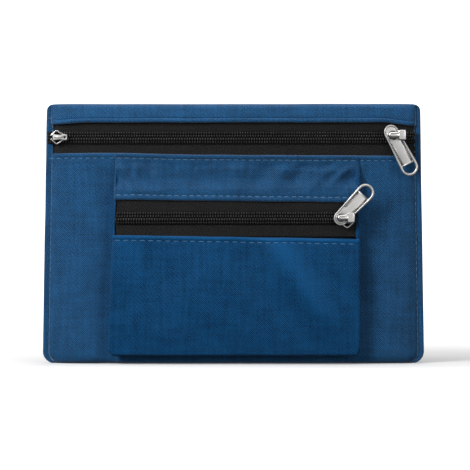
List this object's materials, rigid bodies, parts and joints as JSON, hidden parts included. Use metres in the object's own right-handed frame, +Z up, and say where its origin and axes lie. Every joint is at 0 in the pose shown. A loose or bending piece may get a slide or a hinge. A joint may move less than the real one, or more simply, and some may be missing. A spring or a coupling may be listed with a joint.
{
  "type": "travel document organizer",
  "caption": "Flat fabric pouch for travel papers, with a long zip under its top edge, a pleated front pocket with its own zip, and metal sliders with swinging pulls.",
  "frame": {"origin": "middle of the flat base that the pouch stands on", "axes": "+X along the width to the right as seen from the front, the front faces -Y, +Z up"},
  "size_m": [0.2186, 0.0308, 0.148],
  "materials": {
    "blue_fabric": "satin twill weave, mid blue",
    "lining": "thin plain-weave lining",
    "zip_tape": "woven black tape",
    "zip_coil": "black nylon coil",
    "plated_metal": "satin nickel plate"
  },
  "bodies": {
    "pouch": {"front_panel": "blue_fabric", "back_panel": "blue_fabric", "bottom_panel": "blue_fabric", "top_band": "blue_fabric", "left_edge_binding": "blue_fabric", "right_edge_binding": "blue_fabric", "pocket_upper_panel": "blue_fabric", "pocket_lower_panel": "blue_fabric", "pocket_bottom_pleat": "blue_fabric", "pocket_left_pleat": "blue_fabric", "pocket_right_pleat": "blue_fabric", "front_lining": "lining", "back_lining": "lining", "main_zip_upper_tape": "zip_tape", "main_zip_lower_tape": "zip_tape", "pocket_zip_upper_tape": "zip_tape", "pocket_zip_lower_tape": "zip_tape", "main_zip_upper_coil": "zip_coil", "main_zip_lower_coil": "zip_coil", "pocket_zip_upper_coil": "zip_coil", "pocket_zip_lower_coil": "zip_coil", "main_zip_stops": "plated_metal"},
    "main_slider": {"main_slider_body": "plated_metal", "main_slider_bridge": "plated_metal"},
    "main_pull": {"main_pull": "plated_metal"},
    "left_slider": {"left_slider_body": "plated_metal", "left_slider_bridge": "plated_metal"},
    "pocket_slider": {"pocket_slider_body": "plated_metal", "pocket_slider_bridge": "plated_metal"},
    "pocket_pull": {"pocket_pull": "plated_metal"}
  },
  "joints": [
    {"name": "main_slider_slide", "type": "slide", "parent": "pouch", "child": "main_slider", "axis": [-1, 0, 0], "range_m": [0, 0.15]},
    {"name": "main_pull_swing", "type": "hinge", "parent": "main_slider", "child": "main_pull", "pos_m": [0.0889, -0.0136, 0.1304], "axis": [0, 1, 0], "range_deg": [-10, 265]},
    {"name": "left_slider_slide", "type": "slide", "parent": "pouch", "child": "left_slider", "axis": [1, 0, 0], "range_m": [0, 0.03]},
    {"name": "pocket_slider_slide", "type": "slide", "parent": "pouch", "child": "pocket_slider", "axis": [-1, 0, 0], "range_m": [0, 0.125]},
    {"name": "pocket_pull_swing", "type": "hinge", "parent": "pocket_slider", "child": "pocket_pull", "pos_m": [0.0596, -0.0196, 0.0835], "axis": [0, -1, 0], "range_deg": [0, 275]}
  ]
}
